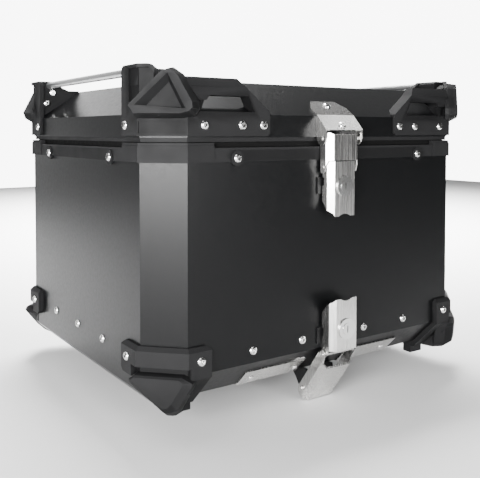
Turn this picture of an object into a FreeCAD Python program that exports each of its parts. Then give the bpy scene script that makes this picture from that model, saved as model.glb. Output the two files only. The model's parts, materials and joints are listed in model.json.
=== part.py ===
"""Motorcycle top case: an aluminium box with plastic guards, a rear-hinged lid and two over-centre latches.

Row frame, millimetres: +X to the case's right, -Y to its front (the latch side), +Z up.
The origin is the middle of the raised seat under the floor, where the case stands on its carrier.
"""

import FreeCAD, Part
import math
import os

import Sketcher

doc = FreeCAD.newDocument("TopCase")
sheet = doc.addObject("Spreadsheet::Sheet", "Dimensions")

DIMENSIONS = {
    # case body
    "case_width": 430,
    "case_depth": 375,
    "corner_leg": 33,
    "gauge": 2,
    "floor_leg": 30,
    "floor_side_leg": 12,
    "seat_height": 0.6,
    "seat_width": 250,
    "seat_depth": 230,
    "panel_top": 242,
    # rim on the body
    "rim_low": 232,
    "rim_top": 245.8,
    "rim_corner_top": 250.6,
    "rim_proud": 2,
    "rim_corner_proud": 2.9,
    "rim_boss_radius": 7.6,
    "rim_boss_proud": 2.6,
    "rim_screw_z": 235.5,
    "rim_reach": 12,
    "rim_wall": 3,
    "rim_corner_x": 154,
    "rim_corner_y": 121,
    # lid
    "lid_low": 255.7,
    "lid_fold": 277.8,
    "lid_top": 312.9,
    "lid_inset": 49.7,
    "frame_low": 251.4,
    "frame_high": 262,
    "seal_low": 246.2,
    "seal_outside": 5,
    "seal_width": 4,
    # rear hinges
    "hinge_x": 54,
    "hinge_y": 194.6,
    "hinge_z": 253,
    "hinge_width": 56,
    "knuckle_width": 16,
    "knuckle_radius": 4.6,
    "hinge_pin_radius": 2.5,
    # carry rods
    "rod_radius": 4,
    "rod_x": 205,
    "rod_z": 320,
    "rod_half": 150,
    # corner guards on the lid
    "guard_thick": 3,
    "guard_low": 257,
    "guard_flange_top": 280,
    "guard_top": 325,
    "guard_front_end": 88.4,
    "guard_side_end": 121.5,
    "guard_pad_proud": 12,
    # feet
    "foot_low": -7,
    "foot_bar_low": 39.6,
    "foot_bar_fold": 54.7,
    "foot_bar_top": 58.5,
    "foot_proud": 6.5,
    "foot_pad_proud": 12,
    "foot_front_end": 159.5,
    "foot_side_end": 125,
    # button-head screws
    "screw_head_radius": 4.35,
    "screw_head_height": 2.4,
    "screw_radius": 2.5,
    "screw_length": 12,
    "short_screw_length": 3.4,
    "socket_radius": 1.9,
    "socket_depth": 1.6,
    "rivet_head_radius": 3.4,
    "rivet_head_height": 1.4,
    "rivet_radius": 1.6,
    "rivet_length": 5,
    # latches
    "latch_metal": 1.5,
    "pin_radius": 2.5,
    "upper_pin_y": -196,
    "upper_pin_z": 254,
    "lever_pin_y": -193.6,
    "lever_pin_z": 224,
    "low_pin_y": -193.6,
    "low_pin_z": 25,
    "low_rivet_y": -160,
    "low_rivet_z": -21,
    "ear_half": 26,
    "link_half": 22.5,
    "lever_half": 19.6,
    "lever_face": 14,
    "lever_front": -203.6,
    "lever_low": 172,
    "lever_high": 231,
    "lock_radius": 11,
    "lock_z": 204,
    "low_lever_low": 28,
    "low_lever_high": 85,
    "low_lock_z": 52.5,
}


class Size:
    """A length: its value now, and the expression that ties it to the sheet."""

    def __init__(self, value, text=None):
        self.value = float(value)
        self.text = text or f"({self.value:.6f})"

    def joined(self, other, sign, value):
        other = other if isinstance(other, Size) else Size(other)
        return Size(value(self.value, other.value), f"({self.text} {sign} {other.text})")

    def __add__(self, other):
        return self.joined(other, "+", lambda a, b: a + b)

    __radd__ = __add__

    def __sub__(self, other):
        return self.joined(other, "-", lambda a, b: a - b)

    def __rsub__(self, other):
        return Size(other) - self

    def __mul__(self, other):
        return self.joined(other, "*", lambda a, b: a * b)

    __rmul__ = __mul__

    def __truediv__(self, other):
        return self.joined(other, "/", lambda a, b: a / b)

    def __neg__(self):
        return self * -1


def sized(value):
    """value as a Size, whether it is one already or a plain number."""
    return value if isinstance(value, Size) else Size(value)


for row, (alias, number) in enumerate(DIMENSIONS.items(), start=1):
    sheet.set(f"A{row}", alias)
    sheet.set(f"B{row}", str(number))
    sheet.setAlias(f"B{row}", alias)
doc.recompute()


class D:
    """The sheet's cells by name, each as a Size."""


for alias, number in DIMENSIONS.items():
    setattr(D, alias, Size(number, f"Dimensions.{alias}"))

HALF_X = D.case_width / 2
HALF_Y = D.case_depth / 2
# a 45 degree corner's leg shrinks by this much for each millimetre that its outline moves in
CORNER_SHRINK = 2 - math.sqrt(2)
PIECES = {}


# ---------------------------------------------------------------- modelling helpers

def bind(thing, prop, value):
    """Sets a length property and ties it to the sheet."""
    thing.setExpression(prop, sized(value).text)


def place(thing, x=0, y=0, z=0, rotation=None):
    """Puts a piece at x, y, z, each tied to the sheet, turned by rotation."""
    thing.Placement = FreeCAD.Placement(FreeCAD.Vector(), rotation or FreeCAD.Rotation())
    for axis, value in zip("xyz", (x, y, z)):
        bind(thing, f".Placement.Base.{axis}", value)
    return thing


def unique(name):
    """A document name that no object has yet."""
    number = 1
    while doc.getObject(f"{name}_{number}"):
        number += 1
    return f"{name}_{number}"


def origin_plane(body, role):
    for feature in body.Origin.OriginFeatures:
        if feature.Role == role:
            return feature
    raise ValueError(role)


def outline_sketch(body, role, points, offset):
    """A closed polygon on one of the body's own planes, every corner held by the sheet."""
    sketch = body.newObject("Sketcher::SketchObject", unique("outline"))
    sketch.AttachmentSupport = [(origin_plane(body, role), "")]
    sketch.MapMode = "FlatFace"
    bind(sketch, ".AttachmentOffset.Base.z", offset)
    corners = [(sized(a), sized(b)) for a, b in points]
    spots = [FreeCAD.Vector(a.value, b.value, 0) for a, b in corners]
    for i, spot in enumerate(spots):
        sketch.addGeometry(Part.LineSegment(spot, spots[(i + 1) % len(spots)]))
    for i in range(len(spots)):
        sketch.addConstraint(Sketcher.Constraint("Coincident", i, 2, (i + 1) % len(spots), 1))
    for i, (a, b) in enumerate(corners):
        for kind, value in (("DistanceX", a), ("DistanceY", b)):
            index = sketch.addConstraint(Sketcher.Constraint(kind, -1, 1, i, 1, value.value))
            sketch.setExpression(f"Constraints[{index}]", value.text)
    return sketch


def slab(label, role, points, start, depth):
    """A padded outline on the plane named by role, from start to start + depth along X, Y or Z."""
    body = doc.addObject("PartDesign::Body", unique("body"))
    body.Label = label
    offset = -(sized(start) + depth) if role == "XZ_Plane" else sized(start)
    sketch = outline_sketch(body, role, points, offset)
    pad = body.newObject("PartDesign::Pad", unique("pad"))
    pad.Profile = sketch
    bind(pad, "Length", depth)
    sketch.Visibility = False
    return body


def block(label, low, high):
    """A box between two corners."""
    box = doc.addObject("Part::Box", unique("box"))
    box.Label = label
    for prop, a, b in zip(("Length", "Width", "Height"), low, high):
        bind(box, prop, sized(b) - a)
    return place(box, *low)


def tapered(label, role, *levels):
    """A solid through parallel outlines. levels are (points, distance along the plane's own normal) pairs."""
    body = doc.addObject("PartDesign::Body", unique("body"))
    body.Label = label
    sketches = [outline_sketch(body, role, points, distance) for points, distance in levels]
    loft = body.newObject("PartDesign::AdditiveLoft", unique("loft"))
    loft.Profile = sketches[0]
    loft.Sections = sketches[1:]
    loft.Ruled = True
    return body


AXES = {
    "x": FreeCAD.Rotation(FreeCAD.Vector(0, 0, 1), FreeCAD.Vector(1, 0, 0)),
    "y": FreeCAD.Rotation(FreeCAD.Vector(0, 0, 1), FreeCAD.Vector(0, 1, 0)),
    "z": FreeCAD.Rotation(),
}
# farther than any face of the case
FAR = 400
# radial clearance of a pin in the piece that turns on it, and of a screw in its hole
PIN_FIT = 0.06
SCREW_FIT = 0.1


def rod(label, radius, length, start, axis):
    """A cylinder from start along axis."""
    cylinder = doc.addObject("Part::Cylinder", unique("cylinder"))
    cylinder.Label = label
    bind(cylinder, "Radius", radius)
    bind(cylinder, "Height", length)
    return place(cylinder, *start, rotation=AXES[axis])


def combine(kind, label, parts):
    result = doc.addObject(kind, unique("combined"))
    result.Label = label
    result.Shapes = list(parts)
    return result


def fuse(label, *parts):
    return combine("Part::MultiFuse", label, parts)


def common(label, *parts):
    return combine("Part::MultiCommon", label, parts)


def cut(label, base, *tools):
    result = doc.addObject("Part::Cut", unique("cut"))
    result.Label = label
    result.Base = base
    result.Tool = tools[0] if len(tools) == 1 else fuse(label + " tools", *tools)
    return result


def group(label, parts):
    result = doc.addObject("Part::Compound", unique("group"))
    result.Label = label
    result.Links = list(parts)
    return result


def mirrored(label, source, normal):
    result = doc.addObject("Part::Mirroring", unique("mirror"))
    result.Label = label
    result.Source = source
    result.Normal = FreeCAD.Vector(*normal)
    return result


def keep(piece, label=None):
    """Marks a finished piece, whose label names its file."""
    piece.Label = label or piece.Label
    PIECES[piece.Label] = piece
    return piece


def octagon(inset):
    """The case's plan outline, moved in by inset."""
    inset = sized(inset)
    x = HALF_X - inset
    y = HALF_Y - inset
    leg = D.corner_leg - inset * CORNER_SHRINK
    return [
        (-x, leg - y), (leg - x, -y), (x - leg, -y), (x, leg - y),
        (x, y - leg), (x - leg, y), (leg - x, y), (-x, y - leg),
    ]


def ring(label, outside, inside, low, high):
    """A closed band round the case between two insets of its plan outline."""
    outer = slab(label + " outer", "XY_Plane", octagon(outside), low, sized(high) - low)
    inner = slab(label + " inner", "XY_Plane", octagon(inside), low, sized(high) - low)
    return cut(label, outer, inner)


def four_corners(stem, master):
    """The front-left piece and its three mirror images, each kept under its own name."""
    keep(master, stem + "_front_left")
    keep(mirrored("", master, (1, 0, 0)), stem + "_front_right")
    keep(mirrored("", master, (0, 1, 0)), stem + "_rear_left")
    rear = mirrored(stem + " turned", master, (0, 1, 0))
    keep(mirrored("", rear, (1, 0, 0)), stem + "_rear_right")


def both_signs(values):
    return [sign * value for value in values for sign in (-1, 1)]


# ---------------------------------------------------------------- screws

screw_master = doc.addObject("PartDesign::Body", "screw_master")
short_screw_master = doc.addObject("PartDesign::Body", "short_screw_master")
rivet_master = doc.addObject("PartDesign::Body", "rivet_master")


def domed_pin(body, head, tall, radius, length):
    """A domed head on a shank, turned about +Z: the head's underside at z 0, its shank below."""
    profile = outline_sketch(
        body,
        "XZ_Plane",
        [
            (0, -length), (radius, -length), (radius, 0), (head, 0),
            (head, tall * 0.3), (head * 0.86, tall * 0.68), (head * 0.58, tall), (0, tall),
        ],
        0,
    )
    turned = body.newObject("PartDesign::Revolution", unique("turned"))
    turned.Profile = profile
    turned.ReferenceAxis = (profile, ["V_Axis"])
    turned.Angle = 360
    doc.recompute()
    return turned


def make_screw(body, length):
    """A button-head screw with a hexagon socket."""
    tall = D.screw_head_height
    turned = domed_pin(body, D.screw_head_radius, tall, D.screw_radius, length)
    socket = body.newObject("Sketcher::SketchObject", unique("socket"))
    socket.AttachmentSupport = [(origin_plane(body, "XY_Plane"), "")]
    socket.MapMode = "FlatFace"
    bind(socket, ".AttachmentOffset.Base.z", tall)
    corners = [math.radians(60 * i) for i in range(6)]
    spots = [(D.socket_radius * math.cos(a), D.socket_radius * math.sin(a)) for a in corners]
    for i in range(6):
        a = FreeCAD.Vector(spots[i][0].value, spots[i][1].value, 0)
        b = FreeCAD.Vector(spots[(i + 1) % 6][0].value, spots[(i + 1) % 6][1].value, 0)
        socket.addGeometry(Part.LineSegment(a, b))
    for i in range(6):
        socket.addConstraint(Sketcher.Constraint("Coincident", i, 2, (i + 1) % 6, 1))
    pocket = body.newObject("PartDesign::Pocket", unique("pocket"))
    pocket.Profile = socket
    bind(pocket, "Length", D.socket_depth)
    doc.recompute()
    if pocket.Shape.Volume > turned.Shape.Volume - 1:
        pocket.Reversed = True
        doc.recompute()
    body.Tip = pocket


make_screw(screw_master, D.screw_length)
make_screw(short_screw_master, D.short_screw_length)
domed_pin(rivet_master, D.rivet_head_radius, D.rivet_head_height, D.rivet_radius, D.rivet_length)
# side view of the latch bracket in Y and Z: the hood's lower edge, the fold and the tab's upper edge
HOOD_LOW = (-203.6, 263.2)
HOOD_FOLD = (-189, 279)
TAB_HIGH = (-167.2, 294.2)


def facing(low, high):
    """The turn that points +Z squarely off a face seen edge on from low to high, in Y and Z."""
    rise = FreeCAD.Vector(0, low[1] - high[1], high[0] - low[0])
    return FreeCAD.Rotation(FreeCAD.Vector(0, 0, 1), rise)


def along(low, high, share):
    """A point of such a face on the middle plane, share of the way up."""
    return (0, low[0] + (high[0] - low[0]) * share, low[1] + (high[1] - low[1]) * share)


OUTWARD = {
    "front": FreeCAD.Rotation(FreeCAD.Vector(0, 0, 1), FreeCAD.Vector(0, -1, 0)),
    "back": FreeCAD.Rotation(FreeCAD.Vector(0, 0, 1), FreeCAD.Vector(0, 1, 0)),
    "left": FreeCAD.Rotation(FreeCAD.Vector(0, 0, 1), FreeCAD.Vector(-1, 0, 0)),
    "right": FreeCAD.Rotation(FreeCAD.Vector(0, 0, 1), FreeCAD.Vector(1, 0, 0)),
    "floor_front": FreeCAD.Rotation(FreeCAD.Vector(0, 0, 1), FreeCAD.Vector(0, -1, -1)),
    "tab": facing(HOOD_FOLD, TAB_HIGH),
    "hood": facing(HOOD_LOW, HOOD_FOLD),
}


def fastener(spot, way, master):
    """A screw or rivet whose head sits at spot and faces out of the named side."""
    copy = doc.addObject("App::Link", unique("fastener"))
    copy.LinkedObject = master
    copy.Placement = FreeCAD.Placement(FreeCAD.Vector(), OUTWARD[way])
    for axis, value in zip("xyz", spot):
        bind(copy, f".Placement.Base.{axis}", value)
    return copy


def screw_hole(spot, way, radius, length):
    """The clearance hole for that fastener, from its shank's end to clear of its head."""
    hole = rod("hole", radius + SCREW_FIT, length * 2, (0, 0, 0), "z")
    outward = OUTWARD[way].multVec(FreeCAD.Vector(0, 0, 1))
    hole.Placement = FreeCAD.Placement(FreeCAD.Vector(), OUTWARD[way])
    for axis, value, step in zip("xyz", spot, outward):
        bind(hole, f".Placement.Base.{axis}", sized(value) - step * (length + 1))
    return hole


GROUPS = ("floor", "rim", "feet", "guard", "rod", "hinge", "lid hinge", "latch", "trim")
SCREW_SEATS = {name: [] for name in GROUPS}


def seat_front_back(name, xs, y, z):
    """Seats at each x on the front and the back, facing outwards."""
    for x in both_signs(xs):
        SCREW_SEATS[name].append(((x, -y, z), "front"))
        SCREW_SEATS[name].append(((x, y, z), "back"))


def seat_sides(name, x, ys, z):
    """Seats at each y on both sides, facing outwards."""
    for y in ys:
        SCREW_SEATS[name].append(((-x, y, z), "left"))
        SCREW_SEATS[name].append(((x, y, z), "right"))


FLOOR_SCREW_Z = 43
FOOT_SCREW_Z = 45.2
GUARD_SCREW_Z = 267.5
seat_front_back("floor", [44, 107], HALF_Y, FLOOR_SCREW_Z)
seat_sides("floor", HALF_X, (-65, 5, 75), FLOOR_SCREW_Z)
seat_front_back("rim", [127.2], HALF_Y + D.rim_boss_proud, D.rim_screw_z)
seat_sides("rim", HALF_X + D.rim_boss_proud, both_signs([90]), D.rim_screw_z)
seat_front_back("feet", [171], HALF_Y + D.foot_proud, FOOT_SCREW_Z)
seat_sides("feet", HALF_X + D.foot_proud, both_signs([138]), FOOT_SCREW_Z)
seat_front_back("guard", [96.5, 122, 165], HALF_Y + D.guard_thick, GUARD_SCREW_Z)
seat_sides("guard", HALF_X + D.guard_thick, both_signs([130]), GUARD_SCREW_Z)
GUSSET_Y = 124
GUSSET_THICK = 5
for x, z in ((201, 311), (208.5, 297.5)):
    for x_side in (-1, 1):
        SCREW_SEATS["rod"].append(((x * x_side, -GUSSET_Y, z), "back"))
        SCREW_SEATS["rod"].append(((x * x_side, GUSSET_Y, z), "front"))

HINGE_METAL = 2.4
HINGE_SCREW_SPREAD = 18
for middle in both_signs([D.hinge_x]):
    for x in (middle - HINGE_SCREW_SPREAD, middle + HINGE_SCREW_SPREAD):
        SCREW_SEATS["hinge"].append(((x, HALF_Y + D.rim_proud + HINGE_METAL, 213), "back"))
        SCREW_SEATS["lid hinge"].append(((x, HALF_Y + HINGE_METAL, 268), "back"))
SCREW_SEATS["latch"] = [(along(HOOD_LOW, HOOD_FOLD, 0.3), "hood"), (along(HOOD_FOLD, TAB_HIGH, 0.66), "tab")]
TRIM_METAL = 1.5
# the rivets' heads lie on the plate, this far down the bevel
TRIM_RIVET_DROP = 24
lift = TRIM_METAL * math.sqrt(0.5)
trim_rivet_y = TRIM_RIVET_DROP - HALF_Y - lift
trim_rivet_z = D.seat_height + D.floor_leg - TRIM_RIVET_DROP - lift
for x in both_signs([36, 94]):
    SCREW_SEATS["trim"].append(((x, trim_rivet_y, trim_rivet_z), "floor_front"))

MASTERS = {"rod": short_screw_master, "latch": short_screw_master, "trim": rivet_master}


def fasteners(label, *names):
    """All the fasteners of the named seats as one node."""
    copies = []
    for name in names:
        for seat in SCREW_SEATS[name]:
            copies.append(fastener(*seat, MASTERS.get(name, screw_master)))
    return keep(group(label, copies))


def drilled(label, piece, *names):
    """piece with the clearance holes of the named fasteners."""
    holes = []
    for name in names:
        radius = D.rivet_radius if name == "trim" else D.screw_radius
        length = D.short_screw_length if name == "rod" else D.screw_length
        for seat in SCREW_SEATS[name]:
            holes.append(screw_hole(*seat, radius, length.value))
    return cut(label, piece, *holes)


# ---------------------------------------------------------------- sheet-metal body

def case_core(label, inset):
    """The body as a solid: an octagon in plan, bevelled deeply at front and back, slightly at the sides."""
    inset = sized(inset)
    front_leg = D.floor_leg - inset * CORNER_SHRINK
    side_leg = D.floor_side_leg - inset * CORNER_SHRINK
    y = HALF_Y - inset
    x = HALF_X - inset
    low = D.seat_height + inset
    top = D.panel_top + inset
    plan = slab(label + " plan", "XY_Plane", octagon(inset), low, top - low)
    along = slab(
        label + " bevel",
        "YZ_Plane",
        [
            (-y, low + front_leg), (front_leg - y, low), (y - front_leg, low), (y, low + front_leg),
            (y, top), (-y, top),
        ],
        -HALF_X,
        D.case_width,
    )
    across = slab(
        label + " side bevel",
        "XZ_Plane",
        [
            (-x, low + side_leg), (side_leg - x, low), (x - side_leg, low), (x, low + side_leg),
            (x, top), (-x, top),
        ],
        -HALF_Y,
        D.case_depth,
    )
    return common(label, plan, along, across)


def make_body_panels():
    shell = cut("shell", case_core("core", 0), case_core("hollow", D.gauge))
    holed = drilled("shell drilled", shell, "floor", "rim", "feet", "hinge", "trim")
    seam_x = HALF_X - D.corner_leg
    floor_x = HALF_X - D.floor_side_leg
    floor_y = HALF_Y - D.floor_leg
    pan_zone = block("pan zone", (-floor_x, -floor_y, -FAR), (floor_x, floor_y, D.gauge + D.seat_height))
    seat = block(
        "seat",
        (-D.seat_width / 2, -D.seat_depth / 2, 0),
        (D.seat_width / 2, D.seat_depth / 2, D.gauge),
    )
    keep(fuse("floor_pan", common("floor", holed, pan_zone), seat))
    for name, side in (("front", -1), ("back", 1)):
        zone = block("zone", (-seam_x, min(0, side) * FAR, -FAR), (seam_x, max(0, side) * FAR, FAR))
        keep(cut(f"{name}_panel", common(name, holed, zone), pan_zone))
    for name, side in (("left", -1), ("right", 1)):
        zone = block("zone", (min(0, side) * FAR, -FAR, -FAR), (max(0, side) * FAR, FAR, FAR))
        middle = block("middle", (-seam_x, -FAR, -FAR), (seam_x, FAR, FAR))
        keep(cut(f"{name}_side_panel", common(name, holed, zone), middle, pan_zone))


def make_rim():
    """Plastic rim over the sheets' top edge: four straight lengths and four raised corners."""
    proud = -D.rim_proud
    low_ring = ring("rim ring", proud, D.rim_reach, D.rim_low, D.rim_top)
    groove = ring("rim groove", 0, D.gauge, D.rim_low, D.panel_top)
    wall = ring("rim corner wall", proud, D.rim_wall, D.rim_top, D.rim_corner_top)
    skin = ring("rim corner skin", -D.rim_corner_proud, 0, D.rim_low, D.rim_corner_top - 3)
    under = slab("under", "XY_Plane", octagon(D.gauge), D.rim_low - 1, D.panel_top - D.rim_low + 1)
    capped = cut("rim capped", low_ring, groove, under)
    raised = fuse("rim raised", capped, wall, skin)
    bosses = []
    for (x, y, z), way in SCREW_SEATS["rim"]:
        axis = "y" if way in ("front", "back") else "x"
        start = {
            "front": (x, y, z), "back": (x, HALF_Y, z), "left": (x, y, z), "right": (HALF_X, y, z),
        }[way]
        bosses.append(rod("rim boss", D.rim_boss_radius, D.rim_boss_proud, start, axis))
    straight = drilled("rim straight", fuse("rim with bosses", capped, *bosses), "rim")
    x = D.rim_corner_x
    y = D.rim_corner_y
    for name, side in (("front", -1), ("rear", 1)):
        zone = block("zone", (-x, min(0, side) * FAR, 0), (x, max(0, side) * FAR, FAR))
        keep(common(f"rim_{name}", straight, zone))
    for name, side in (("left", -1), ("right", 1)):
        zone = block("zone", (min(0, side) * FAR, -y, 0), (max(0, side) * FAR, y, FAR))
        keep(common(f"rim_{name}", straight, zone))
    for x_name, x_side in (("left", -1), ("right", 1)):
        for y_name, y_side in (("front", -1), ("rear", 1)):
            ends = [sorted((x_side * x.value, x_side * FAR)), sorted((y_side * y.value, y_side * FAR))]
            xs = [x * x_side if abs(v) < FAR else v for v in ends[0]]
            ys = [y * y_side if abs(v) < FAR else v for v in ends[1]]
            zone = block("zone", (xs[0], ys[0], 0), (xs[1], ys[1], FAR))
            keep(common(f"rim_corner_{y_name}_{x_name}", raised, zone))


# ---------------------------------------------------------------- lid

def lid_core(label, inset):
    """The lid as a solid: an upright band and four slopes up to a flat top."""
    inset = sized(inset)
    slope_inset = inset * 1.3
    low = D.lid_low - inset
    band = slab(label + " band", "XY_Plane", octagon(inset), low, D.lid_fold - low)
    slopes = tapered(
        label + " slopes",
        "XY_Plane",
        (octagon(inset), D.lid_fold),
        (octagon(D.lid_inset + slope_inset), D.lid_top - inset),
    )
    return fuse(label, band, slopes)


def make_lid():
    shell = cut("lid hollowed", lid_core("lid", 0), lid_core("lid inside", D.gauge))
    keep(drilled("lid_shell", shell, "guard", "lid hinge", "latch"))
    frame = ring("frame", D.gauge + 0.2, D.rim_reach + 4, D.lid_low, D.frame_high)
    lip = ring("lip", 1.5, D.rim_reach + 4, D.frame_low, D.lid_low)
    keep(drilled("lid_frame", fuse("frame and lip", frame, lip), "guard"))
    outside = D.seal_outside
    keep(ring("lid_seal", outside, outside + D.seal_width, D.seal_low, D.frame_low))


# ---------------------------------------------------------------- corner pieces, drawn front left

CORNER_TURN = FreeCAD.Rotation(FreeCAD.Vector(0, 0, 1), -45)
# how far the middle of the corner's flat lies from the two sides, half the corner's leg each
CORNER_X = -(HALF_X - D.corner_leg / 2)
CORNER_Y = -(HALF_Y - D.corner_leg / 2)


def on_corner(piece, proud=0):
    """Stands a piece drawn with its own -Y outwards on the corner's flat, its local X along the flat."""
    step = proud * math.sqrt(0.5)
    return place(piece, CORNER_X - step, CORNER_Y - step, 0, CORNER_TURN)


def corner_zone(x_end, y_end, low, high, nick):
    """The space round the front-left corner as far as x_end along the front and y_end along the side.

    The ends' corners are cut off by nick.
    """
    x_end = sized(x_end)
    y_end = sized(y_end)
    low = sized(low)
    high = sized(high)
    zones = []
    for role, end, leg_face in (("XZ_Plane", x_end, HALF_Y), ("YZ_Plane", y_end, HALF_X)):
        outline = [
            (-FAR, low), (-end - nick, low), (-end, low + nick), (-end, high - nick), (-end - nick, high),
            (-FAR, high),
        ]
        zones.append(slab("corner zone", role, outline, -FAR, FAR - leg_face + D.corner_leg))
    return fuse("corner zones", *zones)


def make_feet():
    """A plastic guard at each bottom corner: a bar with two lugs round it, a pointed pad and a strap."""
    proud = D.foot_proud
    bar_low = D.foot_bar_low
    fold = D.foot_bar_fold
    top = D.foot_bar_top
    band = slab("foot band", "XY_Plane", octagon(-proud), bar_low, fold - bar_low)
    shoulder = tapered("foot shoulder", "XY_Plane", (octagon(-proud), fold), (octagon(-2.5), top))
    bar = common(
        "foot bar",
        fuse("foot bar ring", band, shoulder),
        corner_zone(D.foot_front_end, D.foot_side_end, bar_low - 8, top, 3.5),
    )
    lug_low = 28.5
    lug_ring = slab("foot lug ring", "XY_Plane", octagon(-proud), lug_low, bar_low + 1 - lug_low)
    lugs = cut(
        "foot lugs",
        common("foot lug band", lug_ring, corner_zone(D.foot_front_end, D.foot_side_end, lug_low, top, 3.5)),
        block("foot groove", (-FAR, -FAR, 0), (-180.5, -147, FAR)),
    )
    wrap = common(
        "foot wrap",
        slab("foot wrap ring", "XY_Plane", octagon(-0.5), 14, bar_low + 1 - 14),
        block("foot wrap zone", (-FAR, -FAR, 0), (-178, -145, FAR)),
    )
    # outlines of the pad along the corner's flat and up, at the flat, at its shoulder and at its face
    pad_base = [
        (-31, 29), (-26, 33.5), (20, 33.5), (30.5, 28), (29, 22), (15, -4), (8.6, D.foot_low),
        (3, D.foot_low), (-2, -4), (-31, 24),
    ]
    pad_shoulder = [
        (-31.8, 29.5), (-26.5, 33), (19.8, 33), (30.5, 28), (29.3, 24.7), (15.1, 2.2), (8.6, -0.8), (3.5, -1),
        (-1.5, 2.2), (-31.5, 26.5),
    ]
    pad_face = [
        (-29.8, 29), (-26, 31.4), (17.6, 31.4), (21.5, 28.4), (20.8, 26), (10.5, 9), (6.5, 4.6), (3.2, 3.6),
        (-0.6, 4.8), (-29.4, 27.6),
    ]
    pad = on_corner(
        tapered(
            "foot pad",
            "XZ_Plane",
            (pad_base, -12),
            (pad_base, 0),
            (pad_shoulder, D.foot_pad_proud - 2.4),
            (pad_face, D.foot_pad_proud),
        )
    )
    strap_face = -HALF_Y - proud
    strap_fold = D.foot_low - strap_face - 157.5
    strap = slab(
        "foot strap",
        "YZ_Plane",
        [
            (strap_face, 42), (strap_face, strap_fold), (-157.5, D.foot_low), (-141, D.foot_low), (-141, 5),
            (-178, 42),
        ],
        -182,
        182 - D.foot_front_end,
    )
    under = slab(
        "foot under",
        "XY_Plane",
        [(-192, -145), (-196, -172), (-190, -178), (-178, -172), (-172, -150), (-176, -141)],
        D.foot_low,
        30,
    )
    tab = block("foot tab", (-179, -153, -16), (-D.foot_front_end, -141, 5))
    body = case_core("foot seat", 0)
    solid = cut("foot", fuse("foot parts", bar, lugs, wrap, pad, strap, under, tab), body)
    four_corners("foot", drilled("foot drilled", solid, "feet"))


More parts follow.
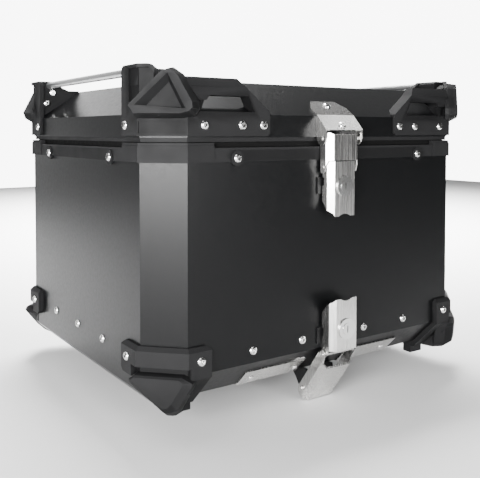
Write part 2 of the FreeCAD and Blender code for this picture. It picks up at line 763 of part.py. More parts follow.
def make_guards():
    """A plastic guard at each lid corner: flanges, a tall plate with the rod's socket, a pad and a loop."""
    low = D.guard_low
    proud = D.guard_thick
    top = D.guard_top
    flange = common(
        "guard flange",
        ring("guard ring", -proud, 0, low, D.guard_flange_top),
        corner_zone(D.guard_front_end, D.guard_side_end, low, D.guard_flange_top, 2.5),
    )
    # the tall plate stands on the side and turns the corner, where its top slopes down behind the pad
    edge = D.guard_side_end
    plate_side = slab(
        "plate side outline",
        "YZ_Plane",
        [
            (-FAR, low), (-edge - 4, low), (-edge, low + 4), (-edge, top - 5), (-edge - 1.5, top - 1.5),
            (-edge - 5, top), (-FAR, top),
        ],
        -FAR,
        FAR - 150,
    )
    plate_corner = on_corner(
        slab(
            "plate corner outline",
            "XZ_Plane",
            [(-90, low), (22, low), (22, 290), (-3, 318), (-11, top - 0.6), (-14, top), (-90, top)],
            -40,
            80,
        )
    )
    # a shallow window in the plate runs round the fold from the side to the flat, above the pad's shoulder
    window_low = 290
    window_high = 321.5
    window_deep = 3
    window_side = slab(
        "window on the side",
        "YZ_Plane",
        [(-162, window_low), (-138, window_low), (-138, window_high), (-162, window_high)],
        -HALF_X - proud - 4,
        4 + window_deep,
    )
    window_outline = [
        (-30, window_low), (-5, window_low), (-5, 313), (-12.5, window_high), (-30, window_high),
    ]
    window_flat = on_corner(
        slab("window on the flat", "XZ_Plane", window_outline, -proud - 4, 4 + window_deep)
    )
    plate_full = common("tall plate", ring("plate ring", -proud, 1.8, low, top), plate_side, plate_corner)
    plate = cut("windowed plate", plate_full, window_side, window_flat)
    # a step along the flat below the pad
    strip_outline = [(-23.5, 260), (22, 260), (22, 271), (-23.5, 271)]
    strip = on_corner(slab("strip", "XZ_Plane", strip_outline, -proud - 4, 5))
    pad_base = [
        (-31, 285), (-25, 272.5), (21, 272.5), (31, 276), (35, 282), (34.5, 289), (19.5, 314.5), (10, 321),
        (0, 318),
    ]
    pad_face = [
        (-30.4, 286), (-25, 278.5), (19, 278), (28, 280), (31.5, 283.5), (31, 288.5), (17.2, 313.3),
        (9.4, 319.4), (1.5, 317),
    ]
    pad_levels = ((pad_base, -3), (pad_base, 1), (pad_face, D.guard_pad_proud))
    pad = on_corner(tapered("guard pad", "XZ_Plane", *pad_levels))
    recess_mouth = [(7.8, 315.4), (-24.4, 286.2), (25, 282.4)]
    recess_floor = [(8.1, 307), (-14.4, 285.2), (19.9, 283.6)]
    recess = on_corner(
        tapered(
            "pad recess",
            "XZ_Plane",
            (recess_floor, D.guard_pad_proud - 4.6),
            (recess_mouth, D.guard_pad_proud + 0.1),
        )
    )
    gusset = slab(
        "guard gusset",
        "XZ_Plane",
        [
            (-215, 280), (-215, top), (-199, top), (-188, 317.5), (-180, 314), (-166, 314), (-166, 312),
            (-183, 300),
        ],
        -GUSSET_Y - GUSSET_THICK,
        GUSSET_THICK,
    )
    socket = slab(
        "rod socket housing",
        "XZ_Plane",
        [(-216, 305), (-199, 311), (-198, 322), (-201, top), (-216, top)],
        -154,
        154 - GUSSET_Y - 1,
    )
    front_y = -HALF_Y - proud
    loop_depth = 15
    loop_outline = slab(
        "loop",
        "XZ_Plane",
        [
            (-188, 276), (-89, 276), (-89, 281), (-116, 303.5), (-124.5, 312.8), (-188, 312.8),
        ],
        front_y,
        loop_depth,
    )
    loop_side = slab(
        "loop side",
        "YZ_Plane",
        [
            (front_y, 276), (front_y, 303.4), (front_y + 6, 312.8), (front_y + loop_depth, 312.8),
            (front_y + loop_depth, 276),
        ],
        -210,
        140,
    )
    loop_gap = slab(
        "loop gap",
        "XZ_Plane",
        [(-167, 280.3), (-107.5, 280.3), (-114.5, 295.5), (-159, 295.5), (-163, 291)],
        front_y - 1,
        loop_depth + 2,
    )
    loop_relief = slab(
        "loop relief",
        "XZ_Plane",
        [(-174, 280.3), (-160, 280.3), (-160, 291), (-179, 291)],
        front_y - 1,
        5,
    )
    web = slab(
        "guard web",
        "XZ_Plane",
        [(-206, 276), (-176, 276), (-176, 306), (-184, 312.8), (-194, 319), (-206, 319)],
        -176.5,
        10,
    )
    core = lid_core("guard seat", 0)
    rod_hole = rod("rod socket", D.rod_radius + 0.05, D.rod_half * 2, (-D.rod_x, -D.rod_half, D.rod_z), "y")
    loop = cut("lashing loop", common("loop bevelled", loop_outline, loop_side), loop_gap, loop_relief)
    solid = fuse("guard parts", flange, plate, pad, gusset, socket, loop, web)
    hollowed = cut("guard", solid, core, rod_hole, recess, strip)
    four_corners("lid_guard", drilled("guard drilled", hollowed, "guard", "rod"))


def make_rods():
    for name, side in (("left", -1), ("right", 1)):
        start = (D.rod_x * side, -D.rod_half, D.rod_z)
        keep(rod(f"carry_rod_{name}", D.rod_radius, D.rod_half * 2, start, "y"))


# ---------------------------------------------------------------- rear hinges

def make_hinges():
    half = D.hinge_width / 2
    leaf_face = HALF_Y + D.rim_proud
    thick = HINGE_METAL
    for name, side in (("left", -1), ("right", 1)):
        x = D.hinge_x * side
        outer_knuckle = rod("knuckle", D.knuckle_radius, D.hinge_width, (x - half, D.hinge_y, D.hinge_z), "x")
        middle = D.hinge_width - D.knuckle_width * 2
        lid_knuckle = rod(
            "lid knuckle", D.knuckle_radius, middle - 0.8, (x - middle / 2 + 0.4, D.hinge_y, D.hinge_z), "x"
        )
        space = block(
            "knuckle space",
            (x - middle / 2, leaf_face - 1, D.hinge_z - 8),
            (x + middle / 2, D.hinge_y + 8, D.hinge_z + 8),
        )
        bore_start = (x - half - 1, D.hinge_y, D.hinge_z)
        bore = rod("bore", D.hinge_pin_radius, D.hinge_width + 2, bore_start, "x")
        wide_bore = rod("wide bore", D.hinge_pin_radius + 0.05, D.hinge_width + 2, bore_start, "x")
        low_leaf = block("low leaf", (x - half, HALF_Y, 200), (x + half, leaf_face + thick, D.rim_low - 0.2))
        leaf = block("leaf", (x - half, leaf_face, D.rim_low - 0.2), (x + half, leaf_face + thick, D.hinge_z))
        body_leaf = cut("body leaf", fuse("leaf parts", low_leaf, leaf, outer_knuckle), space, bore)
        keep(drilled("leaf drilled", body_leaf, "hinge"), f"hinge_body_leaf_{name}")
        web = block(
            "web",
            (x - middle / 2 + 0.4, HALF_Y + 0.1, D.hinge_z + 2.6),
            (x + middle / 2 - 0.4, D.hinge_y, D.hinge_z + D.knuckle_radius + 0.6),
        )
        lid_plate = block("lid plate", (x - half, HALF_Y, 257.4), (x + half, HALF_Y + thick, 276))
        lid_leaf = cut("lid leaf", fuse("lid leaf parts", lid_plate, web, lid_knuckle), wide_bore)
        keep(drilled("lid leaf drilled", lid_leaf, "lid hinge"), f"hinge_lid_leaf_{name}")
        pin_start = (x - half - 1.5, D.hinge_y, D.hinge_z)
        keep(rod(f"hinge_pin_{name}", D.hinge_pin_radius, D.hinge_width + 3, pin_start, "x"))


# ---------------------------------------------------------------- latches

def bevelled(label, half, face, front, depth, low, high):
    """Plan outline of a channel whose front edges are bevelled, padded over its height."""
    front = sized(front)
    points = [
        (-half, front + depth), (-half, front + (half - face)), (-face, front),
        (face, front), (half, front + (half - face)), (half, front + depth),
    ]
    return slab(label, "XY_Plane", points, low, sized(high) - low)


def hollow(label, half, face, front, depth, low, high, metal):
    """The space inside such a channel."""
    return bevelled(label, half - metal, face - metal * 0.4, sized(front) + metal, depth, low, high)


def make_upper_latch():
    metal = D.latch_metal
    lid_face = -HALF_Y
    # lid bracket: a tab up the lid's slope, a hood that leans forward over the link, and two ears below it
    slope = D.lid_inset / (D.lid_top - D.lid_fold)
    tab_rise = 15
    fold = D.lid_fold
    tab_plate = slab(
        "tab plate",
        "YZ_Plane",
        [
            (lid_face, fold), (lid_face + slope * tab_rise, fold + tab_rise), TAB_HIGH, HOOD_FOLD, HOOD_LOW,
            (HOOD_LOW[0] + 1.1, HOOD_LOW[1] - 1), (lid_face - 0.2, fold - 1),
        ],
        -D.ear_half,
        D.ear_half * 2,
    )
    tab_outline = slab(
        "tab outline",
        "XY_Plane",
        [(-26, -206), (26, -206), (26, -178), (16, -166), (-16, -166), (-26, -178)],
        240,
        60,
    )
    tab = common("tab and hood", tab_plate, tab_outline)
    ears = []
    for side in (-1, 1):
        start = D.ear_half - metal if side > 0 else -D.ear_half
        ears.append(
            slab(
                "ear",
                "YZ_Plane",
                [
                    (lid_face, fold), (lid_face, 258), (-190, 250), (-193, 247.4), (-198, 247.4),
                    (-201.6, 250.4), (-203.4, 256), HOOD_LOW, (lid_face - metal, fold + 0.6),
                ],
                start,
                metal,
            )
        )
    bracket = fuse("bracket", tab, *ears)
    pin_length = D.ear_half * 2 + 2
    upper_pin = (-D.ear_half - 1, D.upper_pin_y, D.upper_pin_z)
    pin_bore = rod("bore", D.pin_radius, pin_length + 4, (-D.ear_half - 3, D.upper_pin_y, D.upper_pin_z), "x")
    keep(drilled("latch_lid_bracket", cut("bracket bored", bracket, pin_bore), "latch"))
    keep(rod("latch_lid_pin", D.pin_radius, pin_length, upper_pin, "x"))
    # link: a short channel over both pins
    link_bore = D.pin_radius + PIN_FIT
    shell = bevelled("link", D.link_half, 16.5, -205, 16.5, 216, 260)
    inside = hollow("link inside", D.link_half, 16.5, -205, 20, 210, 270, metal)
    side = slab(
        "link side view",
        "YZ_Plane",
        [
            (-205, 231), (-205, 258), (-202, 260), (-192, 260), (-190.4, 256), (-190.4, 222),
            (-191, 218), (-194, 217), (-197, 219), (-199, 226), (-201, 231),
        ],
        -40,
        80,
    )
    bores = [
        rod("bore", link_bore, 80, (-40, D.upper_pin_y, D.upper_pin_z), "x"),
        rod("bore", D.pin_radius, 80, (-40, D.lever_pin_y, D.lever_pin_z), "x"),
    ]
    keep(cut("latch_link", common("link shape", shell, side), inside, *bores))
    lever_pin = (-D.link_half - 0.8, D.lever_pin_y, D.lever_pin_z)
    keep(rod("latch_lever_pin", D.pin_radius, D.link_half * 2 + 1.6, lever_pin, "x"))
    # lever: a long channel with the lock in its face
    lever_top = D.lever_high - 1
    shell = bevelled("lever", D.lever_half, D.lever_face, D.lever_front, 17, D.lever_low, lever_top)
    inside = hollow("lever inside", D.lever_half, D.lever_face, D.lever_front, 20, 160, 240, metal)
    side = slab(
        "lever side view",
        "YZ_Plane",
        [
            (D.lever_front, lever_top), (-197.5, lever_top), (-194, 227.6), (-191.2, 226.4), (-190.4, 224),
            (-190.4, 214), (-193, 212.5),
            (-193, 205), (-190.4, 203.5), (-190.4, 188), (-196, 180), (-203, 175),
            (D.lever_front, D.lever_low),
        ],
        -40,
        80,
    )
    scallop = rod("scallop", 14, 20, (0, D.lever_front - 2, D.lever_low - 11.5), "y")
    lock_hole = rod("lock hole", D.lock_radius - 2, 12, (0, D.lever_front - 4, D.lock_z), "y")
    pin_hole = rod("bore", D.pin_radius + PIN_FIT, 80, (-40, D.lever_pin_y, D.lever_pin_z), "x")
    keep(cut("latch_lever", common("lever shape", shell, side), inside, scallop, lock_hole, pin_hole))
    make_lock("latch_lock", D.lever_front, D.lock_z)
    keep(block("latch_catch", (-25, lid_face - 1.8, 196), (25, lid_face, 213)))


def make_lock(stem, front, centre):
    """A key lock: a flanged barrel fixed in the lever, and a plug with a cam that turns in it."""
    bore = 6.5
    ring_proud = 1.6
    flange = rod("flange", D.lock_radius, ring_proud, (0, front - ring_proud, centre), "y")
    barrel = rod("barrel", D.lock_radius - 2.05, 8, (0, front - 0.1, centre), "y")
    bored = rod("bore", bore, 30, (0, front - 10, centre), "y")
    keep(cut(f"{stem}_barrel", fuse("barrel parts", flange, barrel), bored))
    plug = rod("plug", bore - 0.05, 10.3, (0, front - 2, centre), "y")
    slot = block("key slot", (-0.6, front - 3, centre - 3.6), (0.6, front + 4, centre + 3.6))
    cam = block("cam", (-3, front + 8.3, centre - 3), (3, front + 9.8, centre + 11))
    keep(fuse(f"{stem}_plug", cut("slotted plug", plug, slot), cam))


def make_lower_latch():
    """The same latch upside down at the floor: it draws the case down on its carrier."""
    metal = D.latch_metal
    lid_face = -HALF_Y
    shell = bevelled("low lever", D.lever_half, D.lever_face, -207.5, 18, D.low_lever_low, D.low_lever_high)
    inside = hollow("low lever inside", D.lever_half, D.lever_face, -207.5, 22, 0, 100, metal)
    side = slab(
        "low lever side view",
        "YZ_Plane",
        [
            (-207.5, D.low_lever_high), (-204.5, 82), (-197, 77), (-190.4, 68), (-190.4, 53.5), (-193, 52),
            (-193, 44), (-190.4, 42.5), (-190.4, 24), (-192, 21.4), (-195.5, 21.4), (-198, 24), (-200, 30),
            (-207.5, 30),
        ],
        -40,
        80,
    )
    sides = []
    for x in (-D.lever_half, D.lever_half - metal):
        sides.append(block("low lever cheek", (x, -200, 21), (x + metal, -190.4, 34)))
    scallop = rod("scallop", 14, 20, (0, -210, D.low_lever_high + 11.5), "y")
    lock_hole = rod("lock hole", D.lock_radius - 2, 12, (0, -211, D.low_lock_z), "y")
    pin_hole = rod("bore", D.pin_radius + PIN_FIT, 80, (-40, D.low_pin_y, D.low_pin_z), "x")
    channel = fuse("low lever channel", cut("low lever hollowed", shell, inside), *sides)
    shape = common("low lever shape", channel, side)
    keep(cut("lower_lever", shape, scallop, lock_hole, pin_hole))
    make_lock("lower_lock", sized(-207.5), D.low_lock_z)
    low_pin = (-D.link_half - 0.8, D.low_pin_y, D.low_pin_z)
    keep(rod("lower_lever_pin", D.pin_radius, D.link_half * 2 + 1.6, low_pin, "x"))
    # link, drawn upright about its lower pin and leaned forward to the lever's pin
    reach_y = D.low_pin_y - D.low_rivet_y
    reach_z = D.low_pin_z - D.low_rivet_z
    lean = math.degrees(math.atan2(-reach_y.value, reach_z.value))
    length = math.hypot(reach_y.value, reach_z.value)
    shell = bevelled("low link", D.link_half, 16.5, -11, 17, -9, length + 4)
    inside = hollow("low link inside", D.link_half, 16.5, -11, 20, -20, length + 30, metal)
    side = slab(
        "low link side view",
        "YZ_Plane",
        [
            (-11, -9), (-11, length - 12), (-6, length - 8), (-4, length + 2), (-1, length + 4),
            (2, length + 4),
            (5, length), (5, -2), (3, -7), (-3, -9),
        ],
        -40,
        80,
    )
    bores = [
        rod("bore", D.pin_radius, 80, (-40, 0, length), "x"),
        rod("bore", D.pin_radius + PIN_FIT, 80, (-40, 0, 0), "x"),
    ]
    link = cut("lower_link", common("low link shape", shell, side), inside, *bores)
    keep(place(link, 0, D.low_rivet_y, D.low_rivet_z, FreeCAD.Rotation(FreeCAD.Vector(1, 0, 0), lean)))
    rivet = (-D.ear_half + 1, D.low_rivet_y, D.low_rivet_z)
    keep(rod("lower_link_pin", D.pin_radius, D.ear_half * 2 - 2, rivet, "x"))
    cheeks = [
        slab(
            "bracket cheek",
            "YZ_Plane",
            [
                (-166, -22), (-163, -26), (-156, -26), (-146, -12), (-132, D.seat_height),
                (-164, D.seat_height), (-166, -8),
            ],
            x,
            2.4,
        )
        for x in (-D.link_half + 3, D.link_half - 5.4)
    ]
    foot = block("bracket base", (-30, -152, D.seat_height - 2.4), (30, -122, D.seat_height))
    rivet_bore = rod("bore", D.pin_radius, 80, (-40, D.low_rivet_y, D.low_rivet_z), "x")
    keep(cut("latch_base_bracket", fuse("bracket", foot, *cheeks), rivet_bore))
    keep(block("lower_catch", (-25, lid_face - 1.8, 36), (25, lid_face, 53)))


def make_trim():
    """Bright wear plates on the front bevel, folded under the floor, and two hooks under its rear edge."""
    thick = TRIM_METAL
    face_y = -HALF_Y
    low = D.seat_height
    for name, side in (("left", -1), ("right", 1)):
        start = -108 if side < 0 else 30
        plate = slab(
            "plate",
            "YZ_Plane",
            [
                (face_y + 12.4, low + 17.6), (face_y + D.floor_leg, low), (face_y + D.floor_leg + 12, low),
                (face_y + D.floor_leg + 12, low - thick), (face_y + D.floor_leg - thick * 0.414, low - thick),
                (face_y + 12.4 - thick * 0.707, low + 17.6 - thick * 0.707),
            ],
            start,
            78,
        )
        keep(drilled(f"trim_plate_{name}", plate, "trim"))
        hook = 2.5
        keep(
            slab(
                f"carrier_hook_{name}",
                "YZ_Plane",
                [
                    (154, low), (154, low - hook), (121, low - hook), (121, hook - 24), (134, hook - 24),
                    (134, -24), (121 - hook, -24), (121 - hook, low),
                ],
                side * 60 - 15,
                30,
            )
        )


make_body_panels()
make_rim()
make_lid()
make_feet()
make_guards()
make_rods()
make_hinges()
make_upper_latch()
make_lower_latch()
make_trim()
fasteners("floor_screws", "floor")
fasteners("rim_screws", "rim")
fasteners("foot_screws", "feet")
fasteners("hinge_body_screws", "hinge")
fasteners("guard_screws", "guard", "rod")
fasteners("hinge_lid_screws", "lid hinge")
fasteners("latch_bracket_screws", "latch")
fasteners("trim_rivets", "trim")
doc.recompute()

problems = [f"{o.Label}: {o.State}" for o in doc.Objects if "Invalid" in o.State or "Error" in o.State]
for label, piece in PIECES.items():
    shape = piece.Shape
    if shape.isNull() or not shape.isValid() or not shape.Solids:
        problems.append(f"{label}: no valid solid")
if problems:
    raise RuntimeError("; ".join(problems))
os.makedirs("parts", exist_ok=True)
for label, piece in PIECES.items():
    piece.Shape.exportStep(f"parts/{label}.step")
    print(label, len(piece.Shape.Solids), round(piece.Shape.Volume))
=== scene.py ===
"""Looks of the motorcycle top case: finishes, softened edges, soft studio light and the camera."""

import json
import math

import bpy
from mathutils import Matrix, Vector


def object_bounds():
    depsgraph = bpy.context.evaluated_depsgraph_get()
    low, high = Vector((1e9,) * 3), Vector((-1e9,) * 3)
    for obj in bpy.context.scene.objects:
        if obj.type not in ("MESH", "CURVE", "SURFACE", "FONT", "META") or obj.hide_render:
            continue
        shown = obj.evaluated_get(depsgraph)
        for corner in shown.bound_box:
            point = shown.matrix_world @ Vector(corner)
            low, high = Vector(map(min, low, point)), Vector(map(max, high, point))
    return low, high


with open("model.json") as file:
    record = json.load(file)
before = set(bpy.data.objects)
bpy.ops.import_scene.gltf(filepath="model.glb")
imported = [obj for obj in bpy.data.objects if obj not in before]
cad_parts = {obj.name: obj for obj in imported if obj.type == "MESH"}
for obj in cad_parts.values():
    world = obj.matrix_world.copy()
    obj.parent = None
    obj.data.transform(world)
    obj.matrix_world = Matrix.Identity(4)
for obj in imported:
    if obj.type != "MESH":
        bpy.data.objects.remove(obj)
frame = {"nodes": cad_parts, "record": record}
nodes = frame["nodes"]
cad_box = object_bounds()

MM = 0.001


# ---------------------------------------------------------------- finishes

class Finish:
    """A procedural material with the usual inputs already in place."""

    def __init__(self, name, color, roughness, metallic=0.0):
        self.material = bpy.data.materials.new(name)
        self.material.use_nodes = True
        self.tree = self.material.node_tree
        self.shader = self.tree.nodes["Principled BSDF"]
        self.shader.inputs["Base Color"].default_value = (*color, 1.0)
        self.shader.inputs["Roughness"].default_value = roughness
        self.shader.inputs["Metallic"].default_value = metallic
        self.where = self.tree.nodes.new("ShaderNodeTexCoord").outputs["Object"]

    def stretched(self, scale):
        """Object coordinates scaled unevenly, for brushing and grain."""
        mapping = self.tree.nodes.new("ShaderNodeMapping")
        mapping.inputs["Scale"].default_value = scale
        self.tree.links.new(self.where, mapping.inputs["Vector"])
        return mapping.outputs["Vector"]

    def noise(self, scale, detail=3.0, coarse=0.5, where=None):
        texture = self.tree.nodes.new("ShaderNodeTexNoise")
        texture.inputs["Scale"].default_value = scale
        texture.inputs["Detail"].default_value = detail
        texture.inputs["Roughness"].default_value = coarse
        self.tree.links.new(where or self.where, texture.inputs["Vector"])
        return texture.outputs["Fac"]

    def ranged(self, source, low, high, start=0.3, stop=0.7):
        """source, a 0 to 1 signal, spread from low to high."""
        spread = self.tree.nodes.new("ShaderNodeMapRange")
        spread.inputs["From Min"].default_value = start
        spread.inputs["From Max"].default_value = stop
        spread.inputs["To Min"].default_value = low
        spread.inputs["To Max"].default_value = high
        self.tree.links.new(source, spread.inputs["Value"])
        return spread.outputs["Result"]

    def shade(self, source, dark, light, start=0.3, stop=0.7):
        """Base colour running from dark to light with source."""
        ramp = self.tree.nodes.new("ShaderNodeValToRGB")
        ramp.color_ramp.elements[0].position = start
        ramp.color_ramp.elements[0].color = (*dark, 1.0)
        ramp.color_ramp.elements[1].position = stop
        ramp.color_ramp.elements[1].color = (*light, 1.0)
        self.tree.links.new(source, ramp.inputs["Fac"])
        self.tree.links.new(ramp.outputs["Color"], self.shader.inputs["Base Color"])

    def rough(self, source):
        self.tree.links.new(source, self.shader.inputs["Roughness"])

    def bumps(self, *layers):
        """Stacks bump layers of (signal, strength, height in metres)."""
        normal = None
        for source, strength, height in layers:
            bump = self.tree.nodes.new("ShaderNodeBump")
            bump.inputs["Strength"].default_value = strength
            bump.inputs["Distance"].default_value = height
            self.tree.links.new(source, bump.inputs["Height"])
            if normal:
                self.tree.links.new(normal, bump.inputs["Normal"])
            normal = bump.outputs["Normal"]
        self.tree.links.new(normal, self.shader.inputs["Normal"])

    def edge_highlight_mask(self, low, high):
        """A 0 to 1 signal that rises on outer edges, used as the mask of a painted edge highlight."""
        geometry = self.tree.nodes.new("ShaderNodeNewGeometry")
        return self.ranged(geometry.outputs["Pointiness"], 0.0, 1.0, low, high)

    def gloss(self, level):
        """How strongly a surface that isn't metal mirrors."""
        self.shader.inputs["Specular IOR Level"].default_value = level


def powder_coat():
    """Fine-textured black powder coat: satin, with a faint orange peel."""
    finish = Finish("powder_coat", (0.0022, 0.0023, 0.0025), 0.32)
    peel = finish.noise(1400.0, 2.0)
    cloud = finish.noise(420.0, 3.0)
    finish.shade(cloud, (0.0019, 0.0020, 0.0022), (0.0026, 0.0027, 0.0029))
    finish.rough(finish.ranged(finish.noise(260.0, 3.0), 0.28, 0.36))
    finish.bumps((peel, 0.35, 0.00006), (finish.noise(320.0, 2.0), 0.15, 0.00008))
    finish.gloss(0.15)
    return finish.material


def moulded_plastic(name):
    """Black moulding with a spark-eroded grain, and a painted highlight that makes its outer edges lighter.
    """
    fresh = (0.003, 0.003, 0.00318)
    painted_highlight = (0.0072, 0.0072, 0.0075)
    finish = Finish(name, fresh, 0.5)
    grain = finish.noise(2200.0, 2.0)
    # painted highlight: the outer edges are painted lighter, standing in for light caught along them
    edges = finish.edge_highlight_mask(0.505, 0.56)
    finish.shade(edges, fresh, painted_highlight, 0.0, 1.0)
    finish.rough(finish.ranged(finish.noise(45.0, 4.0), 0.56, 0.70))
    finish.bumps((grain, 0.45, 0.00007), (finish.noise(500.0, 3.0), 0.2, 0.00006))
    finish.gloss(0.10)
    return finish.material


def brushed_steel():
    """Stainless sheet with fine upright brushing lines and a trace of handling marks."""
    tone = 0.62
    finish = Finish("latch_steel", (tone, tone * 0.985, tone * 0.965), 0.25, 1.0)
    lines = finish.noise(1.0, 3.0, 0.6, finish.stretched((900.0, 900.0, 14.0)))
    smudge = finish.noise(70.0, 3.0)
    finish.shade(smudge, (tone * 0.93, tone * 0.92, tone * 0.90), (tone * 1.06, tone * 1.05, tone * 1.03))
    finish.rough(finish.ranged(lines, 0.18, 0.32))
    finish.bumps((lines, 0.12, 0.00005), (smudge, 0.05, 0.0002))
    return finish.material


def polished_steel():
    """Bright turned steel of screw heads and rivets, with painted shade down in the sockets."""
    bright = (0.86, 0.86, 0.85)
    painted_socket_shade = (0.02, 0.02, 0.02)
    finish = Finish("screw_steel", bright, 0.18, 1.0)
    # painted shade: an ambient-occlusion mask darkens the base colour down in the sockets and other hollows
    socket_shade_ao = finish.tree.nodes.new("ShaderNodeAmbientOcclusion")
    socket_shade_ao.inputs["Distance"].default_value = 0.0022
    socket_shade_ao.samples = 8
    finish.shade(socket_shade_ao.outputs["AO"], painted_socket_shade, bright, 0.35, 0.8)
    turned = finish.noise(1600.0, 2.0)
    finish.rough(finish.ranged(turned, 0.14, 0.26))
    finish.bumps((turned, 0.10, 0.00003),)
    return finish.material


def lock_face():
    """Polished chrome of the lock barrels and key plugs, finely scratched by keys."""
    finish = Finish("lock_chrome", (0.72, 0.72, 0.71), 0.16, 1.0)
    fine = finish.noise(900.0, 3.0)
    finish.rough(finish.ranged(fine, 0.12, 0.28))
    finish.bumps((fine, 0.12, 0.00004),)
    return finish.material


def anodised_rod():
    """Satin anodised tube with drawing lines along it."""
    finish = Finish("rod_aluminium", (0.66, 0.665, 0.67), 0.32, 1.0)
    drawn = finish.noise(1.0, 3.0, 0.6, finish.stretched((1500.0, 12.0, 1500.0)))
    finish.rough(finish.ranged(drawn, 0.26, 0.40))
    finish.bumps((drawn, 0.12, 0.00004),)
    return finish.material


def black_steel():
    """Semi-matt black coat on the hinges, hooks, catches and anchor."""
    finish = Finish("black_steel", (0.0035, 0.0035, 0.0037), 0.4)
    finish.rough(finish.ranged(finish.noise(220.0, 3.0), 0.32, 0.5))
    finish.bumps((finish.noise(900.0, 2.0), 0.3, 0.00006),)
    finish.gloss(0.16)
    return finish.material


def soft_rubber():
    """Matt black seal."""
    finish = Finish("seal_rubber", (0.003, 0.003, 0.003), 0.75)
    finish.rough(finish.ranged(finish.noise(180.0, 3.0), 0.65, 0.85))
    finish.bumps((finish.noise(700.0, 3.0), 0.4, 0.00008),)
    finish.gloss(0.06)
    return finish.material


FINISHES = {
    "black_sheet": powder_coat(),
    "guard_plastic": moulded_plastic("guard_plastic"),
    "rim_plastic": moulded_plastic("rim_plastic"),
    "latch_steel": brushed_steel(),
    "screw_steel": polished_steel(),
    "lock_chrome": lock_face(),
    "rod_aluminium": anodised_rod(),
    "black_steel": black_steel(),
    "seal_rubber": soft_rubber(),
}


# ---------------------------------------------------------------- carried-over CAD nodes

# widths of the softened edges, in millimetres
EDGE_WIDTH = {
    "black_sheet": 0.8, "guard_plastic": 0.9, "rim_plastic": 0.7, "latch_steel": 0.35, "screw_steel": 0.25,
    "lock_chrome": 0.3, "rod_aluminium": 0.4, "black_steel": 0.4, "seal_rubber": 0.6,
}


def dress(node, slot):
    """Gives a CAD node its finish and softened edges."""
    thing = nodes[node]
    thing.data.materials.clear()
    thing.data.materials.append(FINISHES[slot])
    flat = thing.modifiers.new("flat_faces", "DECIMATE")
    flat.decimate_type = "DISSOLVE"
    flat.angle_limit = math.radians(0.6)
    bevel = thing.modifiers.new("soft_edges", "BEVEL")
    bevel.width = EDGE_WIDTH[slot] * MM
    bevel.segments = 3
    bevel.limit_method = "ANGLE"
    bevel.angle_limit = math.radians(28)
    bevel.use_clamp_overlap = True
    for polygon in thing.data.polygons:
        polygon.use_smooth = True
    smooth = thing.modifiers.new("flat_shading", "WEIGHTED_NORMAL")
    smooth.keep_sharp = True


for entry in frame["record"]["subparts"]:
    dress(entry["node"], entry["material_slot"])


# ---------------------------------------------------------------- floor, light and camera

FLOOR_SIZE = 6.0
FLOOR_GAP = 0.001


def studio_white():
    finish = Finish("studio_white", (0.56, 0.56, 0.56), 0.8)
    finish.rough(finish.ranged(finish.noise(3.0, 2.0), 0.77, 0.83))
    finish.gloss(0.05)
    return finish.material


def make_floor():
    """A pale floor just under the lowest point of the case."""
    low = cad_box[0]
    bpy.ops.mesh.primitive_plane_add(size=FLOOR_SIZE, location=(0, 0, low.z - FLOOR_GAP))
    floor = bpy.context.object
    floor.name = "studio_floor"
    floor.data.materials.append(studio_white())


def area_light(name, spot, target, size, power, spread=180):
    """A rectangular lamp at spot, facing target, whose light stays within spread degrees."""
    data = bpy.data.lights.new(name, "AREA")
    data.shape = "RECTANGLE"
    data.size, data.size_y = size
    data.energy = power
    data.spread = math.radians(spread)
    lamp = bpy.data.objects.new(name, data)
    bpy.context.scene.collection.objects.link(lamp)
    lamp.location = spot
    lamp.rotation_euler = (Vector(target) - Vector(spot)).to_track_quat("-Z", "Y").to_euler()


def toward(tree, direction, heading, start, stop, low, high):
    """A world signal that runs from low to high as the direction looked in turns to the heading."""
    facing = tree.nodes.new("ShaderNodeVectorMath")
    facing.operation = "DOT_PRODUCT"
    facing.inputs[1].default_value = Vector(heading).normalized()
    tree.links.new(direction, facing.inputs[0])
    spread = tree.nodes.new("ShaderNodeMapRange")
    spread.interpolation_type = "SMOOTHSTEP"
    spread.inputs["From Min"].default_value = start
    spread.inputs["From Max"].default_value = stop
    spread.inputs["To Min"].default_value = low
    spread.inputs["To Max"].default_value = high
    tree.links.new(facing.outputs["Value"], spread.inputs["Value"])
    return spread.outputs["Result"]


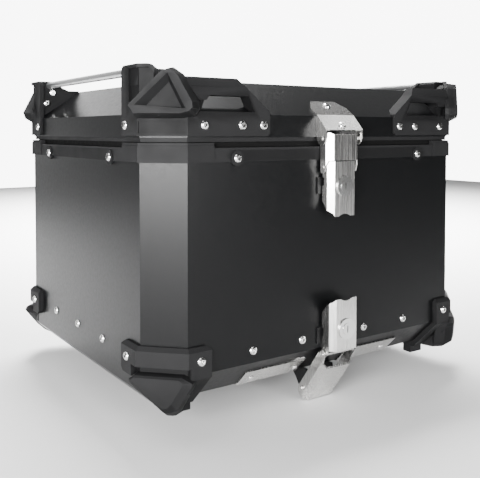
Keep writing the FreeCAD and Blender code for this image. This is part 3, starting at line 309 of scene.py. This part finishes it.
def make_light():
    """A white backdrop behind the case and a dim room, darker overhead, at the left rear and to the right.

    The key light from the left and the soft light in front are mirrored in the corner's flat and the front.
    """
    world = bpy.data.worlds.new("studio")
    bpy.context.scene.world = world
    world.use_nodes = True
    tree = world.node_tree
    background = tree.nodes["Background"]
    background.inputs["Color"].default_value = (1.0, 1.0, 1.0, 1.0)
    direction = tree.nodes.new("ShaderNodeTexCoord").outputs["Generated"]
    levels = (
        toward(tree, direction, (0.56, 0.83, 0.0), 0.52, 0.84, 0.36, 8.5),
        toward(tree, direction, (0.0, 0.0, 1.0), 0.18, 0.46, 1.0, 0.08),
        toward(tree, direction, (-0.62, 0.78, 0.1), 0.55, 0.92, 1.0, 0.3),
        toward(tree, direction, (0.88, -0.47, 0.05), 0.50, 0.92, 1.0, 0.06),
    )
    strength = levels[0]
    for level in levels[1:]:
        product = tree.nodes.new("ShaderNodeMath")
        product.operation = "MULTIPLY"
        tree.links.new(strength, product.inputs[0])
        tree.links.new(level, product.inputs[1])
        strength = product.outputs["Value"]
    tree.links.new(strength, background.inputs["Strength"])
    area_light("key_left", (-1.12, -0.85, 0.33), (-0.2, -0.17, 0.24), (0.95, 0.44), 78)
    area_light("front_soft", (0.16, -1.8, 0.32), (-0.1, -0.19, 0.25), (0.6, 0.5), 34)
    area_light("overhead", (-0.9, 0.3, 2.0), (0.1, 0.2, 0), (2.0, 2.0), 36)
    area_light("hood_glint", (1.0, -0.27, 1.35), (0.0, -0.2, 0.27), (0.25, 0.25), 0.8)
    area_light("floor_wash", (0.8, 1.15, 1.9), (0.8, 1.15, 0.0), (1.8, 1.8), 270, spread=70)


CAMERA_SPOT = (-0.5046, -0.7484, 0.2610)
CAMERA_YAW = math.radians(34.23)
CAMERA_PITCH = math.radians(2.0)


def make_camera():
    """Looks at the case's front left corner from a little below the lid's top."""
    data = bpy.data.cameras.new("camera")
    data.lens = 52.19
    data.sensor_width = 36.0
    data.shift_y = -0.1725
    camera = bpy.data.objects.new("camera", data)
    bpy.context.scene.collection.objects.link(camera)
    camera.location = CAMERA_SPOT
    level = math.cos(CAMERA_PITCH)
    forward = Vector((math.sin(CAMERA_YAW) * level, math.cos(CAMERA_YAW) * level, -math.sin(CAMERA_PITCH)))
    camera.rotation_euler = forward.to_track_quat("-Z", "Y").to_euler()
    bpy.context.scene.camera = camera


make_floor()
make_light()
make_camera()
